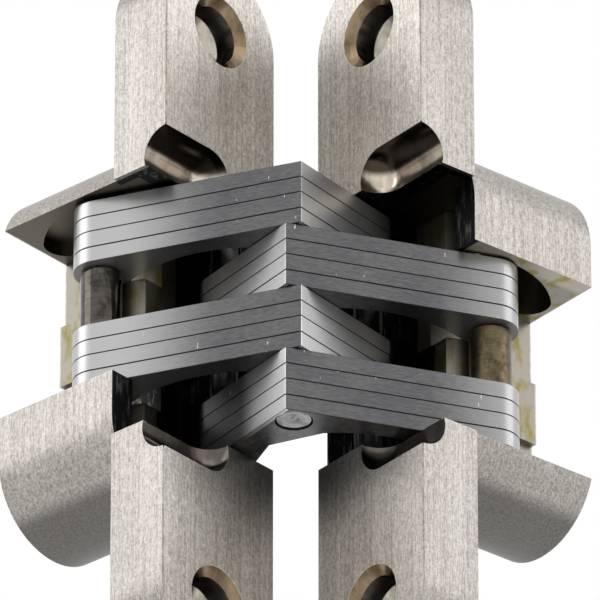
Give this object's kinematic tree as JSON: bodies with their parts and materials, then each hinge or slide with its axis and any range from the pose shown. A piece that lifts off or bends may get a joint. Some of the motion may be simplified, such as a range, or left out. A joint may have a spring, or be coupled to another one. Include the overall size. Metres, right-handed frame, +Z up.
{
  "type": "concealed door hinge",
  "caption": "Concealed invisible door hinge: two long leaves with round ends joined by crossed stacks of L-shaped link plates that fold into the leaves.",
  "frame": {"origin": "midway between the two screw holes of the fixed leaf, on the flange's back face", "axes": "+Z up along the leaves, +Y into the fixed leaf's mortise, +X towards the edge next to the swing leaf"},
  "size_m": [0.0755, 0.0832, 0.15],
  "materials": {
    "satin_steel_leaf": "satin brushed along the leaf",
    "plate_steel": "ground edges, brushed along the plate",
    "pin_steel": "turned, riveted over at the centre pin's ends",
    "roller_steel": "turned and greased"
  },
  "bodies": {
    "fixed_leaf": {"fixed_leaf": "satin_steel_leaf", "fixed_pivot_pin": "pin_steel", "fixed_spacer_outer": "pin_steel", "fixed_spacer_inner": "pin_steel"},
    "link_b": {"link_b_plate_1": "plate_steel", "link_b_plate_2": "plate_steel", "link_b_plate_3": "plate_steel", "link_b_plate_4": "plate_steel", "link_b_plate_5": "plate_steel", "link_b_plate_6": "plate_steel", "link_b_plate_7": "plate_steel", "link_b_plate_8": "plate_steel", "centre_pin": "pin_steel", "link_b_slide_pin": "pin_steel", "link_b_roller_outer": "roller_steel", "link_b_roller_middle": "roller_steel", "link_b_roller_inner": "roller_steel"},
    "link_a": {"link_a_plate_1": "plate_steel", "link_a_plate_2": "plate_steel", "link_a_plate_3": "plate_steel", "link_a_plate_4": "plate_steel", "link_a_plate_5": "plate_steel", "link_a_plate_6": "plate_steel", "link_a_plate_7": "plate_steel", "link_a_plate_8": "plate_steel", "link_a_slide_pin": "pin_steel", "link_a_roller_outer": "roller_steel", "link_a_roller_middle": "roller_steel", "link_a_roller_inner": "roller_steel"},
    "swing_leaf": {"swing_leaf": "satin_steel_leaf", "swing_pivot_pin": "pin_steel", "swing_spacer_outer": "pin_steel", "swing_spacer_inner": "pin_steel"}
  },
  "joints": [
    {"name": "link_b_turn", "type": "hinge", "parent": "fixed_leaf", "child": "link_b", "pos_m": [0.00984, -0.00507, 0], "axis": [0, 0, 1], "range_deg": [-50.38, 62.12]},
    {"name": "link_a_turn", "type": "hinge", "parent": "link_b", "child": "link_a", "pos_m": [0.00437, -0.02701, 0], "axis": [0, 0, 1], "range_deg": [-24.85, 20.15]},
    {"name": "swing_leaf_turn", "type": "hinge", "parent": "link_a", "child": "swing_leaf", "pos_m": [0.02691, -0.0252, 0], "axis": [0, 0, 1], "range_deg": [-50.38, 62.13]}
  ],
  "couplings": [
    {"joint": "link_a_turn", "follows": "link_b_turn", "ratio": -0.4},
    {"joint": "swing_leaf_turn", "follows": "link_b_turn", "ratio": 1}
  ]
}
